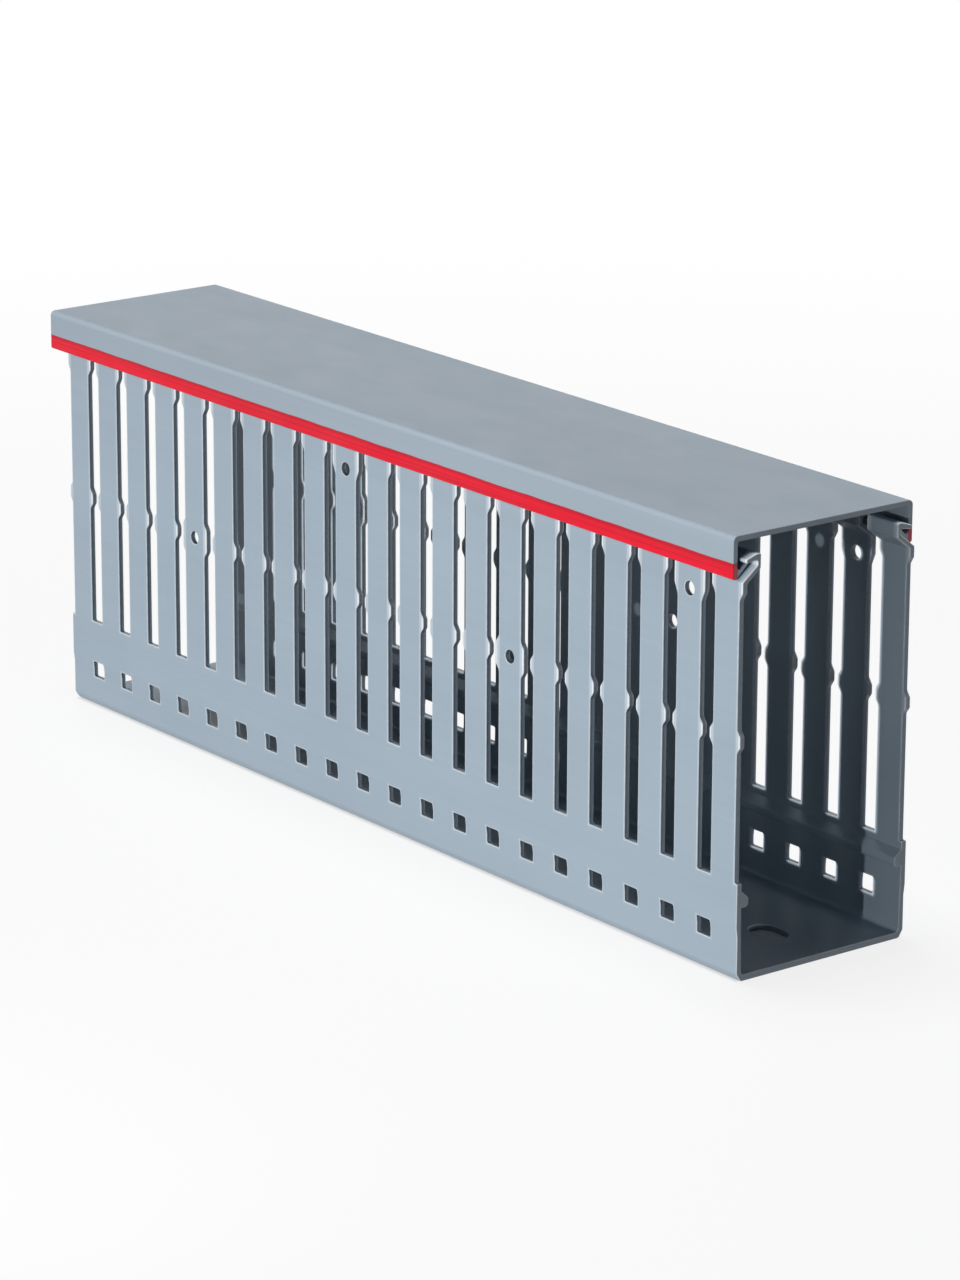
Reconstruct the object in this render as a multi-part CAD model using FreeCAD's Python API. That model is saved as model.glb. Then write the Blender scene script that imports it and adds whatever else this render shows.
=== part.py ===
"""Slotted wire duct with a clip-on cover.

Millimetres. X runs along the duct, Y across it and Z up. The origin is at the centre of the
duct's underside. The duct is a U-shaped plastic extrusion whose two walls are punched into
fingers; the cover is a second extrusion whose lips hold under the hooks of the fingers.
"""
import FreeCAD, Part
import math
import os

from FreeCAD import Vector

os.makedirs("parts", exist_ok=True)

# The duct's section
DUCT_WIDTH = 49.0
DUCT_LENGTH = 260.0
COVERED_HEIGHT = 100.0
FLOOR_THICKNESS = 1.5
WALL_THICKNESS = 1.4
BOTTOM_BEVEL_RUN = 1.2
BOTTOM_BEVEL_RISE = 1.8
BOTTOM_BEVEL_RADIUS = 0.8
FOOT_SETBACK = 0.3
FOOT_TOP = 12.4
FOOT_STEP = 2.4
FOOT_STEP_RADIUS = 6.0
INNER_CORNER_RADIUS = 0.9

# The bead along the inside of each wall
BEAD_REACH = 2.0
BEAD_BOTTOM = 16.9
BEAD_HEIGHT = 2.1
BEAD_SLOPE_HEIGHT = 1.8
BEAD_TIP_RADIUS = 0.9
BEAD_ROOT_RADIUS = 0.3

# The slots, fingers and holes
SLOT_PITCH = 12.5
SLOT_WIDTH = 4.5
SLOT_BOTTOM = 22.6
SLOT_CORNER_RADIUS = 0.4
FINGER_GAP = 2.3
NOTCH_HEIGHT = 54.5
NOTCH_FLAT = 2.2
NOTCH_SLOPE = 1.5
HELD_NOTCH_FLAT = 5.4
HEAD_BELOW_COVER = 2.6
HELD_HEAD_BELOW_COVER = 4.9
HEAD_SLOPE = 1.8
HELD_HEAD_SLOPE = 2.6
OUTLINE_RADIUS = 1.2
SQUARE_HOLE_WIDTH = 4.5
SQUARE_HOLE_HEIGHT = 4.0
SQUARE_HOLE_CENTRE = 9.9
ROUND_HOLE_DIAMETER = 3.2
HIGH_HOLE_BELOW_COVER = 5.4
HOLED_FINGER_STEP = 5

# The mounting slots in the floor
FLOOR_SLOT_WIDTH = 6.5
FLOOR_SLOT_LENGTH = 10.5
FLOOR_SLOT_PITCH = 50.0
FLOOR_SLOT_TO_END = 10.0

# The cover
COVER_LENGTH = 264.0
COVER_OVERHANG = 6.0
COVER_THICKNESS = 1.3
FLANGE_THICKNESS = 1.25
FLANGE_HEIGHT = 9.6
FLANGE_STAND_OUT = 1.0
COVER_EDGE_RADIUS = 1.2
FLANGE_TOE_RADIUS = 0.45
COVER_INNER_RADIUS = 0.5

# The clip: lips of the cover between the shoulders and the hooks of the fingers
SHOULDER_BELOW_FLANGE = 0.3
SHOULDER_RUN = 4.1
SHOULDER_RISE = 3.2
SHOULDER_RADIUS = 0.6
SHOULDER_THICKNESS = 1.15
NECK_THICKNESS = 0.95
NECK_RADIUS = 0.5
HOOK_REACH = 3.15
HOOK_THICKNESS = 1.35
HOOK_DROP = 0.45
HOOK_CROWN_RUN = 1.3
HOOK_TIP_RADIUS = 0.4
HOOK_BACK_RADIUS = 0.9
HOOK_TO_LIP = 0.4
LIP_TO_NECK = 0.8
LIP_THICKNESS = 0.95
LIP_RISE = 3.1
LIP_TIP_RADIUS = 0.35

# Derived levels and places
HALF_WIDTH = DUCT_WIDTH / 2
FLANGE_BOTTOM = COVERED_HEIGHT - FLANGE_HEIGHT
SHOULDER_BOTTOM = FLANGE_BOTTOM - SHOULDER_BELOW_FLANGE
SHOULDER_TOP = SHOULDER_BOTTOM + SHOULDER_RISE
LIP_TIP_IN = SHOULDER_RUN - LIP_TO_NECK
LIP_TIP_TOP = FLANGE_BOTTOM + LIP_RISE + LIP_THICKNESS * math.sqrt(0.5)
HOOK_UNDERSIDE = LIP_TIP_TOP + HOOK_TO_LIP
HOOK_TOP = HOOK_UNDERSIDE + HOOK_THICKNESS
NECK_INNER_IN = SHOULDER_RUN + NECK_THICKNESS
HIGH_HOLE_CENTRE = FLANGE_BOTTOM - HIGH_HOLE_BELOW_COVER
CUT_MARGIN = 5.0

# The duct is sawn through a slot at each end, so it keeps as many whole fingers as its length holds
FINGER_WIDTH = SLOT_PITCH - SLOT_WIDTH
SLOT_COUNT = math.floor((DUCT_LENGTH - FINGER_WIDTH) / SLOT_PITCH)
FINGER_COUNT = SLOT_COUNT + 1
HOLED_FINGERS = range(HOLED_FINGER_STEP - 1, FINGER_COUNT, HOLED_FINGER_STEP)
MID_HOLE_FINGERS = HOLED_FINGERS[0::2]
HIGH_HOLE_FINGERS = HOLED_FINGERS[1::2]


def rounded_face(corners):
    """Face in the YZ plane through corners (y, z, radius), with an arc at each rounded corner."""
    points = [Vector(0, y, z) for y, z, radius in corners]
    edges = []
    ends = []
    for index, (y, z, radius) in enumerate(corners):
        here = points[index]
        before = (points[index - 1] - here).normalize()
        after = (points[(index + 1) % len(points)] - here).normalize()
        if radius == 0:
            ends.append((here, here))
            continue
        half_angle = before.getAngle(after) / 2
        setback = radius / math.tan(half_angle)
        start = here + before * setback
        stop = here + after * setback
        middle_line = (before + after).normalize()
        centre = here + middle_line * (radius / math.sin(half_angle))
        edges.append(Part.Arc(start, centre - middle_line * radius, stop).toShape())
        ends.append((start, stop))
    for index, (start, stop) in enumerate(ends):
        next_start = ends[(index + 1) % len(ends)][0]
        if stop.distanceToPoint(next_start) > 1e-6:
            edges.append(Part.LineSegment(stop, next_start).toShape())
    wire = Part.Wire(Part.__sortEdges__(edges))
    return Part.Face(wire)


def mirrored(half):
    """The half section's corners, followed by their mirror images in reverse order."""
    other = [(-y, z, radius) for y, z, radius in reversed(half)]
    return half + other


def inward(distance):
    """The y of a point that lies this far in from the outer face of the wall at +Y."""
    return HALF_WIDTH - distance


def duct_section():
    """The U-shaped section with feet, beads, shoulders and hooks."""
    foot = FOOT_SETBACK
    wall_in = WALL_THICKNESS
    bead_in = wall_in + BEAD_REACH
    bead_side = BEAD_BOTTOM + BEAD_HEIGHT
    bead_top = bead_side + BEAD_SLOPE_HEIGHT
    slope = math.atan2(SHOULDER_RISE, SHOULDER_RUN)
    inner_drop = SHOULDER_THICKNESS / math.cos(slope)
    neck_base = SHOULDER_TOP + NECK_THICKNESS * math.tan(slope) - inner_drop
    wall_top = SHOULDER_BOTTOM + wall_in * math.tan(slope) - inner_drop
    tip_in = SHOULDER_RUN - HOOK_REACH
    outside = [
        (inward(foot + BOTTOM_BEVEL_RUN), 0, BOTTOM_BEVEL_RADIUS),
        (inward(foot), BOTTOM_BEVEL_RISE, BOTTOM_BEVEL_RADIUS),
        (inward(foot), FOOT_TOP - FOOT_STEP, FOOT_STEP_RADIUS),
        (inward(0), FOOT_TOP, FOOT_STEP_RADIUS),
        (inward(0), SHOULDER_BOTTOM, SHOULDER_RADIUS),
        (inward(SHOULDER_RUN), SHOULDER_TOP, NECK_RADIUS),
        (inward(SHOULDER_RUN), HOOK_UNDERSIDE, NECK_RADIUS),
        (inward(tip_in), HOOK_UNDERSIDE - HOOK_DROP, HOOK_TIP_RADIUS),
        (inward(tip_in), HOOK_TOP - 2 * HOOK_DROP, HOOK_TIP_RADIUS),
        (inward(NECK_INNER_IN - HOOK_CROWN_RUN), HOOK_TOP, HOOK_BACK_RADIUS),
        (inward(NECK_INNER_IN), HOOK_TOP, HOOK_BACK_RADIUS / 2),
    ]
    inside = [
        (inward(NECK_INNER_IN), neck_base, SHOULDER_RADIUS),
        (inward(wall_in), wall_top, SHOULDER_RADIUS),
        (inward(wall_in), bead_top, BEAD_ROOT_RADIUS),
        (inward(bead_in), bead_side, BEAD_TIP_RADIUS),
        (inward(bead_in), BEAD_BOTTOM, BEAD_TIP_RADIUS),
        (inward(wall_in), BEAD_BOTTOM, BEAD_ROOT_RADIUS),
        (inward(wall_in + foot), FLOOR_THICKNESS, INNER_CORNER_RADIUS),
    ]
    return rounded_face(mirrored(outside + inside))


def finger_place(index):
    """The x of the centre line of a finger, counted from the left."""
    return (index - SLOT_COUNT / 2) * SLOT_PITCH


def slot_side(sign, finger):
    """Corners (x from the slot's middle, z, radius) along the finger on one side of a slot."""
    wide = sign * SLOT_WIDTH / 2
    narrow = sign * FINGER_GAP / 2
    notch = (HELD_NOTCH_FLAT if finger in MID_HOLE_FINGERS else NOTCH_FLAT) / 2
    high = finger in HIGH_HOLE_FINGERS
    head = FLANGE_BOTTOM - (HELD_HEAD_BELOW_COVER if high else HEAD_BELOW_COVER)
    slope = HELD_HEAD_SLOPE if high else HEAD_SLOPE
    return [
        (wide, SLOT_BOTTOM, SLOT_CORNER_RADIUS),
        (wide, NOTCH_HEIGHT - notch - NOTCH_SLOPE, OUTLINE_RADIUS),
        (narrow, NOTCH_HEIGHT - notch, OUTLINE_RADIUS),
        (narrow, NOTCH_HEIGHT + notch, OUTLINE_RADIUS),
        (wide, NOTCH_HEIGHT + notch + NOTCH_SLOPE, OUTLINE_RADIUS),
        (wide, head - slope, OUTLINE_RADIUS),
        (narrow, head, OUTLINE_RADIUS),
        (narrow, COVERED_HEIGHT, 0),
    ]


def open_side(sign):
    """Corners of a slot's side that lies past the sawn end of the duct."""
    return [(sign * SLOT_PITCH, SLOT_BOTTOM, 0), (sign * SLOT_PITCH, COVERED_HEIGHT, 0)]


def across(corners, x):
    """Cutting prism through both walls, from corners (x, z, radius) around the given x."""
    face = rounded_face(corners)
    face.rotate(Vector(0, 0, 0), Vector(0, 0, 1), -90)
    face.translate(Vector(x, -HALF_WIDTH - CUT_MARGIN, 0))
    return face.extrude(Vector(0, DUCT_WIDTH + 2 * CUT_MARGIN, 0))


def slot_cut(left_finger, right_finger):
    """Cutting prism of the slot between two fingers, either of which may be past the end."""
    middle = finger_place((left_finger + right_finger) / 2)
    left = slot_side(-1, left_finger) if left_finger >= 0 else open_side(-1)
    right = slot_side(1, right_finger) if right_finger < FINGER_COUNT else open_side(1)
    return across(right + left[::-1], middle)


def square_hole(x):
    """Cutting prism of the hole under one slot, through both walls."""
    half = SQUARE_HOLE_WIDTH / 2
    low = SQUARE_HOLE_CENTRE - SQUARE_HOLE_HEIGHT / 2
    high = low + SQUARE_HOLE_HEIGHT
    corner = SLOT_CORNER_RADIUS
    corners = [(-half, low, corner), (half, low, corner), (half, high, corner), (-half, high, corner)]
    return across(corners, x)


def round_hole(x, height):
    """Cutting cylinder through both walls."""
    start = Vector(x, -HALF_WIDTH - CUT_MARGIN, height)
    return Part.makeCylinder(ROUND_HOLE_DIAMETER / 2, DUCT_WIDTH + 2 * CUT_MARGIN, start, Vector(0, 1, 0))


def floor_slot(x):
    """Cutting prism of one mounting slot, lengthwise in the floor."""
    radius = FLOOR_SLOT_WIDTH / 2
    half = FLOOR_SLOT_LENGTH / 2 - radius
    height = FLOOR_THICKNESS + 2 * CUT_MARGIN
    low = -CUT_MARGIN
    bar = Part.makeBox(2 * half, FLOOR_SLOT_WIDTH, height, Vector(x - half, -radius, low))
    first = Part.makeCylinder(radius, height, Vector(x - half, 0, low))
    last = Part.makeCylinder(radius, height, Vector(x + half, 0, low))
    return bar.fuse([first, last]).removeSplitter()


def make_duct():
    """The punched extrusion."""
    body = duct_section().extrude(Vector(DUCT_LENGTH, 0, 0))
    body.translate(Vector(-DUCT_LENGTH / 2, 0, 0))
    cuts = [slot_cut(finger - 1, finger) for finger in range(FINGER_COUNT + 1)]
    cuts += [square_hole(finger_place(slot) + SLOT_PITCH / 2) for slot in range(SLOT_COUNT)]
    cuts += [round_hole(finger_place(finger), NOTCH_HEIGHT) for finger in MID_HOLE_FINGERS]
    cuts += [round_hole(finger_place(finger), HIGH_HOLE_CENTRE) for finger in HIGH_HOLE_FINGERS]
    place = finger_place(HOLED_FINGERS[-1])
    while place > FLOOR_SLOT_TO_END - DUCT_LENGTH / 2:
        cuts.append(floor_slot(place))
        place -= FLOOR_SLOT_PITCH
    return body.cut(cuts)


def make_cover():
    """The clip-on cover, slid along so that it overhangs one end."""
    out = -FLANGE_STAND_OUT
    inner = out + FLANGE_THICKNESS
    slope = math.atan2(LIP_RISE, LIP_TIP_IN)
    lip_root = FLANGE_BOTTOM + inner * math.tan(slope) + LIP_THICKNESS / math.cos(slope)
    outside = [
        (inward(out), COVERED_HEIGHT, COVER_EDGE_RADIUS),
        (inward(out), FLANGE_BOTTOM, FLANGE_TOE_RADIUS),
        (inward(0), FLANGE_BOTTOM, FLANGE_TOE_RADIUS),
    ]
    lip = [
        (inward(LIP_TIP_IN), FLANGE_BOTTOM + LIP_RISE, LIP_TIP_RADIUS),
        (inward(LIP_TIP_IN - LIP_THICKNESS / 2), LIP_TIP_TOP, LIP_TIP_RADIUS),
        (inward(inner), lip_root, COVER_INNER_RADIUS),
        (inward(inner), COVERED_HEIGHT - COVER_THICKNESS, COVER_INNER_RADIUS),
    ]
    section = rounded_face(mirrored(outside + lip))
    body = section.extrude(Vector(COVER_LENGTH, 0, 0))
    body.translate(Vector(-DUCT_LENGTH / 2 - COVER_OVERHANG, 0, 0))
    return body


def save(name, shape):
    """Writes one closed solid as a STEP file."""
    if not shape.isValid() or len(shape.Solids) != 1:
        raise ValueError(name + " isn't one valid solid")
    shape.Solids[0].exportStep("parts/" + name + ".step")
    print(name, shape.BoundBox, round(shape.Volume, 1))


save("duct_base", make_duct())
save("duct_cover", make_cover())
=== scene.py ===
"""Looks of a slotted wire duct with a clip-on cover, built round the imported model.

Construction runs in millimetres, as the duct's drawing does, and each finished mesh is brought to
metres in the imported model's frame: X along the duct, Y across it, Z up from its underside.
"""
import math

import bmesh
import bpy
from mathutils import Matrix, Vector


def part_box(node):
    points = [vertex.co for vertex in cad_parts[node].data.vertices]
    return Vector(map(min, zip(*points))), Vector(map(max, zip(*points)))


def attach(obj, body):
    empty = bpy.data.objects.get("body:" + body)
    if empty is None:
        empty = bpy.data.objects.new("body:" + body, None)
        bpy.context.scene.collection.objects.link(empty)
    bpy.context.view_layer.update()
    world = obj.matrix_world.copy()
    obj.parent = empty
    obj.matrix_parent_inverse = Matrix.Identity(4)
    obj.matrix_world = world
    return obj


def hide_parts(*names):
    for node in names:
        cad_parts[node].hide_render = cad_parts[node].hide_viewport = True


bl_info = {
    "name": "Slotted wire duct",
    "version": (1, 0, 0),
    "blender": (4, 5, 0),
    "location": "3D View > Sidebar > Wire duct",
    "description": "Builds a punched wire duct and its clip-on cover, with a small studio",
    "category": "Add Mesh",
}

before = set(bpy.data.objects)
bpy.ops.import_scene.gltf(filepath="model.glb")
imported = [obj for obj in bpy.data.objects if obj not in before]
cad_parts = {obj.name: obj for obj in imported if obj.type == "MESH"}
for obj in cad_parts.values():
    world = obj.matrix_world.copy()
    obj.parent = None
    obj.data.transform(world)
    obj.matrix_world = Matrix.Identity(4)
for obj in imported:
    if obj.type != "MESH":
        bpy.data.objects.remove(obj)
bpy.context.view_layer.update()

MM = 0.001
DUCT_NODE = "duct_base"
COVER_NODE = "duct_cover"


def in_mm(metres):
    """A length in millimetres, rounded so that cuts and grid lines meet exactly."""
    return round(metres / MM, 3)


DUCT_LOW, DUCT_HIGH = [[in_mm(value) for value in corner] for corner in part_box(DUCT_NODE)]
COVER_LOW, COVER_HIGH = [[in_mm(value) for value in corner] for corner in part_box(COVER_NODE)]

# Section of the duct, millimetres
BOTTOM_BEVEL_RUN, BOTTOM_BEVEL_RISE, BOTTOM_BEVEL_RADIUS = 1.2, 1.8, 0.8
FOOT_SETBACK, FOOT_TOP, FOOT_STEP = 0.3, 12.4, 2.4
INNER_CORNER_RADIUS = 0.9
BEAD_REACH, BEAD_BOTTOM, BEAD_HEIGHT, BEAD_SLOPE_HEIGHT = 2.0, 16.9, 2.1, 1.8
BEAD_TIP_RADIUS, BEAD_ROOT_RADIUS = 0.9, 0.3

# Slots, fingers and holes, millimetres
SLOT_CORNER_RADIUS, OUTLINE_RADIUS = 0.4, 1.2
NOTCH_FLAT, NOTCH_SLOPE, HELD_NOTCH_FLAT = 2.2, 1.5, 5.4
HEAD_BELOW_COVER, HEAD_SLOPE = 2.6, 1.8
HELD_HEAD_BELOW_COVER, HELD_HEAD_SLOPE = 4.9, 2.6
SQUARE_HOLE_WIDTH, SQUARE_HOLE_HEIGHT, SQUARE_HOLE_CENTRE = 4.5, 4.0, 9.9
HIGH_HOLE_BELOW_COVER = 5.4
HOLED_FINGER_STEP = 5
FLOOR_SLOT_WIDTH, FLOOR_SLOT_LENGTH = 6.5, 10.5
FLOOR_SLOT_STEP = 4
FIRST_FLOOR_SLOT_FINGER = 3
CUT_MARGIN = 5.0
# What is left straight of a floor slot's ends, so that their corners don't meet
FLOOR_SLOT_FLAT = 0.001

# Cover and clip, millimetres
FLANGE_THICKNESS, FLANGE_TOE_RADIUS = 1.25, 0.45
COVER_EDGE_RADIUS, COVER_INNER_RADIUS = 1.2, 0.5
SHOULDER_BELOW_FLANGE, SHOULDER_RUN, SHOULDER_RISE = 0.3, 4.1, 3.2
SHOULDER_RADIUS, SHOULDER_THICKNESS = 0.6, 1.15
NECK_THICKNESS, NECK_RADIUS = 0.95, 0.5
HOOK_REACH, HOOK_THICKNESS, HOOK_DROP, HOOK_CROWN_RUN = 3.15, 1.35, 0.45, 1.3
HOOK_TIP_RADIUS, HOOK_BACK_RADIUS = 0.4, 0.9
HOOK_TO_LIP, LIP_TO_NECK = 0.4, 0.8
LIP_THICKNESS, LIP_RISE, LIP_TIP_RADIUS = 0.95, 3.1, 0.35

HALF_WIDTH = DUCT_HIGH[1]
FLANGE_BOTTOM = COVER_LOW[2]
COVER_TOP = COVER_HIGH[2]
SHOULDER_BOTTOM = FLANGE_BOTTOM - SHOULDER_BELOW_FLANGE
SHOULDER_TOP = SHOULDER_BOTTOM + SHOULDER_RISE
LIP_TIP_IN = SHOULDER_RUN - LIP_TO_NECK
LIP_TIP_TOP = FLANGE_BOTTOM + LIP_RISE + LIP_THICKNESS * math.sqrt(0.5)
HOOK_UNDERSIDE = LIP_TIP_TOP + HOOK_TO_LIP
HOOK_TOP = HOOK_UNDERSIDE + HOOK_THICKNESS
NECK_INNER_IN = SHOULDER_RUN + NECK_THICKNESS
HIGH_HOLE_CENTRE = FLANGE_BOTTOM - HIGH_HOLE_BELOW_COVER
WALL_STROKE = (-HALF_WIDTH - CUT_MARGIN, HALF_WIDTH + CUT_MARGIN)
FLOOR_STROKE = (-CUT_MARGIN, CUT_MARGIN)

# How finely arcs and rounded edges are drawn, and how sharp an edge has to be to be rounded
ARC_STEP = math.radians(10)
HOLE_SIDES = 28
EDGE_LIMIT = math.radians(33)
EDGE_STEPS = 3
EDGE_SHADING = 60
# A face is sawn where its normal runs this much along the duct
END_FACE = 0.9

# Pale plastic, millimetres: the pale rim beside a cut, which is a painted highlight, the heights between
# which the fingers turn white, partly by the strain and partly as a painted highlight, and how far that
# white is full from their narrow edge and ends short of their wide one
HIGHLIGHT_RIM_FROM, HIGHLIGHT_RIM_TO = 0.6, 0.1
WHITENS_FROM, WHITENS_TO = 30.0, 34.0
WHITE_FROM_NARROW, WHITE_SHORT_OF_WIDE = 0.2, 0.1
# How white the rims get as a painted highlight, and how white the cut faces get by the strain and as a
# painted highlight
RIM_HIGHLIGHT, CUT_STRAIN_AND_HIGHLIGHT = 0.27, 0.3
# A whole number of slots and a half, longer than the duct, that brings every place on it above zero
SLOTS_PAST_DUCT = 100.5

# The red edge, millimetres: half the blur of its seam and of its inner side, and its dark upper part
SEAM_BLUR, SKIN_BLUR = 0.09, 0.06
THIN_RED, THIN_RED_END, THIN_RED_SHADE = 1.0, 0.1, 0.62

# Rigid PVC
PVC_IOR, PVC_GLOSS = 1.53, 0.3
SAWN_PALENESS = 0.16
# Relief, millimetres: waves, die lines and grain of the skin, and marks of the saw, punch and hands
WAVE_RELIEF, LINE_RELIEF, GRAIN_RELIEF = 0.28, 0.012, 0.005
SAWN_RELIEF, PUNCHED_RELIEF, RUBBED_RELIEF = 0.05, 0.02, 0.01

# Studio, metres: name, place and size of each softbox, by the property that holds its power
SOFTBOXES = {
    "front_power": ("Front softbox", (0.0, -8.0, 0.08), 0.12),
    "front_right_power": ("Front right softbox", (2.1, -7.72, 0.08), 0.12),
    "back_power": ("Back softbox", (0.0, 8.0, 0.08), 0.12),
    "overhead_power": ("Overhead softbox", (-0.5, 0.0, 2.5), 1.0),
    "right_power": ("Right softbox", (2.5, 0.35, 0.12), 0.2),
    "left_power": ("Left softbox", (-2.5, 0.35, 0.12), 0.2),
    "fill_power": ("Fill card", (0.12, -0.27, 0.11), 0.12),
}
LAMPS_LOOK_AT = Vector((0.0, 0.0, 0.05))
CAMERA_PLACE = Vector((0.92629, -0.70898, 0.39136))
CAMERA_REACH = 50.0
FLOOR_REACH = 12.0
# Between these distances the shadow on the floor fades out, and under the duct its own shade sets in
SHADOW_NEAR, SHADOW_FAR = 0.2, 0.7
SHADE_UNDER_DUCT = 4 * MM
# How much of the floor beside the duct is plain white, and how strong the world is as stray light
WHITE_NEAR = 0.84
STRAY_LIGHT = 0.04

# Kinds of finger
PLAIN, MID_HOLE, HIGH_HOLE = "plain", "mid hole", "high hole"

# Kinds of node
MATH, VECTOR, RANGE, MIX = "ShaderNodeMath", "ShaderNodeVectorMath", "ShaderNodeMapRange", "ShaderNodeMix"
NOISE, SPLIT, COORDINATES = "ShaderNodeTexNoise", "ShaderNodeSeparateXYZ", "ShaderNodeTexCoord"
WHOLE, LOGIC, COMPARE = "FunctionNodeIntegerMath", "FunctionNodeBooleanMath", "FunctionNodeCompare"
# Numbers of inputs that share their names: the colours of a mix and the whole numbers of a comparison
COLOUR_A, COLOUR_B = 6, 7
WHOLE_A, WHOLE_B = 2, 3
# Levels between which noise mostly keeps, and the middle part of them
MOST_OF_NOISE, MIDDLE_OF_NOISE = (0.25, 0.75), (0.3, 0.7)


def linear(text):
    """Linear RGBA of an sRGB colour written as six hex digits."""
    levels = [int(text[place:place + 2], 16) / 255 for place in (1, 3, 5)]
    bent = [v / 12.92 if v <= 0.04045 else ((v + 0.055) / 1.055) ** 2.4 for v in levels]
    return (*bent, 1.0)


WHITE = linear("#FFFFFF")


def node(tree, kind, *values, named=None, **settings):
    """Adds a node with its settings. Its inputs are filled in order, or by name or number, each with
    a value, a socket or a node, of which the first open output is linked."""
    made = tree.nodes.new(kind)
    for name, value in settings.items():
        setattr(made, name, value)
    for key, value in {**dict(enumerate(values)), **(named or {})}.items():
        for item in value if isinstance(value, list) else [value]:
            if isinstance(item, bpy.types.Node):
                item = next(socket for socket in item.outputs if socket.enabled)
            if isinstance(item, bpy.types.NodeSocket):
                tree.links.new(item, made.inputs[key])
            else:
                made.inputs[key].default_value = item
    return made


class WireDuctSizes(bpy.types.PropertyGroup):
    """Sizes of the punched duct and its cover."""

    wall_thickness: bpy.props.FloatProperty(
        name="Wall", description="Thickness of the duct's walls", default=1.4 * MM, subtype="DISTANCE")
    floor_thickness: bpy.props.FloatProperty(
        name="Floor", description="Thickness of the duct's floor", default=1.5 * MM, subtype="DISTANCE")
    slot_pitch: bpy.props.FloatProperty(
        name="Slot pitch", description="From one slot to the next", default=12.5 * MM, subtype="DISTANCE")
    slot_width: bpy.props.FloatProperty(
        name="Slot width", description="Opening between the fingers' shafts", default=4.5 * MM,
        subtype="DISTANCE")
    slot_bottom: bpy.props.FloatProperty(
        name="Slot bottom", description="Height at which the slots start", default=22.6 * MM,
        subtype="DISTANCE")
    finger_gap: bpy.props.FloatProperty(
        name="Finger gap", description="Opening at the notches and heads", default=2.3 * MM,
        subtype="DISTANCE")
    notch_height: bpy.props.FloatProperty(
        name="Notch height", description="Height of the notches' middle", default=54.5 * MM,
        subtype="DISTANCE")
    hole_diameter: bpy.props.FloatProperty(
        name="Round hole", description="Diameter of the round holes", default=3.2 * MM, subtype="DISTANCE")
    punched_edge: bpy.props.FloatProperty(
        name="Punched edge", description="Rounding that the punch leaves along each edge", default=0.2 * MM,
        subtype="DISTANCE")
    cover_thickness: bpy.props.FloatProperty(
        name="Cover", description="Thickness of the cover's top", default=1.3 * MM, subtype="DISTANCE")
    cover_edge: bpy.props.FloatProperty(
        name="Cover edge", description="Rounding of the cover's sawn edges", default=0.18 * MM,
        subtype="DISTANCE")
    stripe_height: bpy.props.FloatProperty(
        name="Red edge", description="Height of the red edge of the flanges", default=3.6 * MM,
        subtype="DISTANCE")


class WireDuctFinish(bpy.types.PropertyGroup):
    """Colours of the plastic."""

    duct_grey: bpy.props.FloatVectorProperty(
        name="Duct", description="Colour of the duct", subtype="COLOR", size=4, default=linear("#9AA9B5"))
    cover_grey: bpy.props.FloatVectorProperty(
        name="Cover", description="Colour of the cover", subtype="COLOR", size=4, default=linear("#98A5B0"))
    # Besides the white of the shear, this white paints the highlights beside the cuts, along the rounded
    # edges and between the notches and heads
    strain_and_highlight_white: bpy.props.FloatVectorProperty(
        name="Sheared", description="Colour of plastic whitened by the shear", subtype="COLOR", size=4,
        default=linear("#EDF2F6"))
    edge_red: bpy.props.FloatVectorProperty(
        name="Red edge", description="Colour of the co-extruded edge", subtype="COLOR", size=4,
        default=linear("#DA0628"))
    roughness: bpy.props.FloatProperty(
        name="Roughness", description="Roughness of the extruded skin", default=0.42, min=0.0, max=1.0,
        subtype="FACTOR")


class WireDuctStudio(bpy.types.PropertyGroup):
    """Camera and lamps."""

    azimuth: bpy.props.FloatProperty(
        name="Azimuth", description="Camera's turn round the duct", default=math.radians(52.35),
        subtype="ANGLE")
    elevation: bpy.props.FloatProperty(
        name="Elevation", description="Camera's angle above the floor", default=math.radians(16.67),
        subtype="ANGLE")
    roll: bpy.props.FloatProperty(
        name="Roll", description="Camera's turn about its own line of sight", default=math.radians(0.22),
        subtype="ANGLE")
    lens: bpy.props.FloatProperty(
        name="Lens", description="Focal length for a 36 mm long side", default=145.04,
        subtype="DISTANCE_CAMERA")
    front_power: bpy.props.FloatProperty(
        name="Front", description="Power of the softbox in front", default=452.0, unit="POWER")
    front_right_power: bpy.props.FloatProperty(
        name="Front right", description="Power of the softbox in front, right", default=125.0, unit="POWER")
    back_power: bpy.props.FloatProperty(
        name="Back", description="Power of the softbox behind", default=500.0, unit="POWER")
    overhead_power: bpy.props.FloatProperty(
        name="Overhead", description="Power of the softbox above", default=44.0, unit="POWER")
    right_power: bpy.props.FloatProperty(
        name="Right", description="Power of the softbox at the right end", default=7.0, unit="POWER")
    left_power: bpy.props.FloatProperty(
        name="Left", description="Power of the softbox at the left end", default=7.0, unit="POWER")
    fill_power: bpy.props.FloatProperty(
        name="Fill", description="Power of the small card at the right end", default=0.1, unit="POWER")


def position_mm(tree):
    """Object coordinates in millimetres."""
    place = node(tree, COORDINATES).outputs["Object"]
    return node(tree, VECTOR, place, named={"Scale": 1 / MM}, operation="SCALE")


def grain(tree, position, along_x, along_y, along_z, detail=2.0):
    """A noise pattern from 0 to 1 whose grain has these lengths in millimetres."""
    scaled = node(tree, VECTOR, position, (1 / along_x, 1 / along_y, 1 / along_z), operation="MULTIPLY")
    return node(tree, NOISE, named={"Vector": scaled, "Scale": 1.0, "Detail": detail})


def blank_material(name):
    """A material with an empty tree."""
    material = bpy.data.materials.new(name)
    material.use_nodes = True
    material.node_tree.nodes.clear()
    return material


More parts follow.
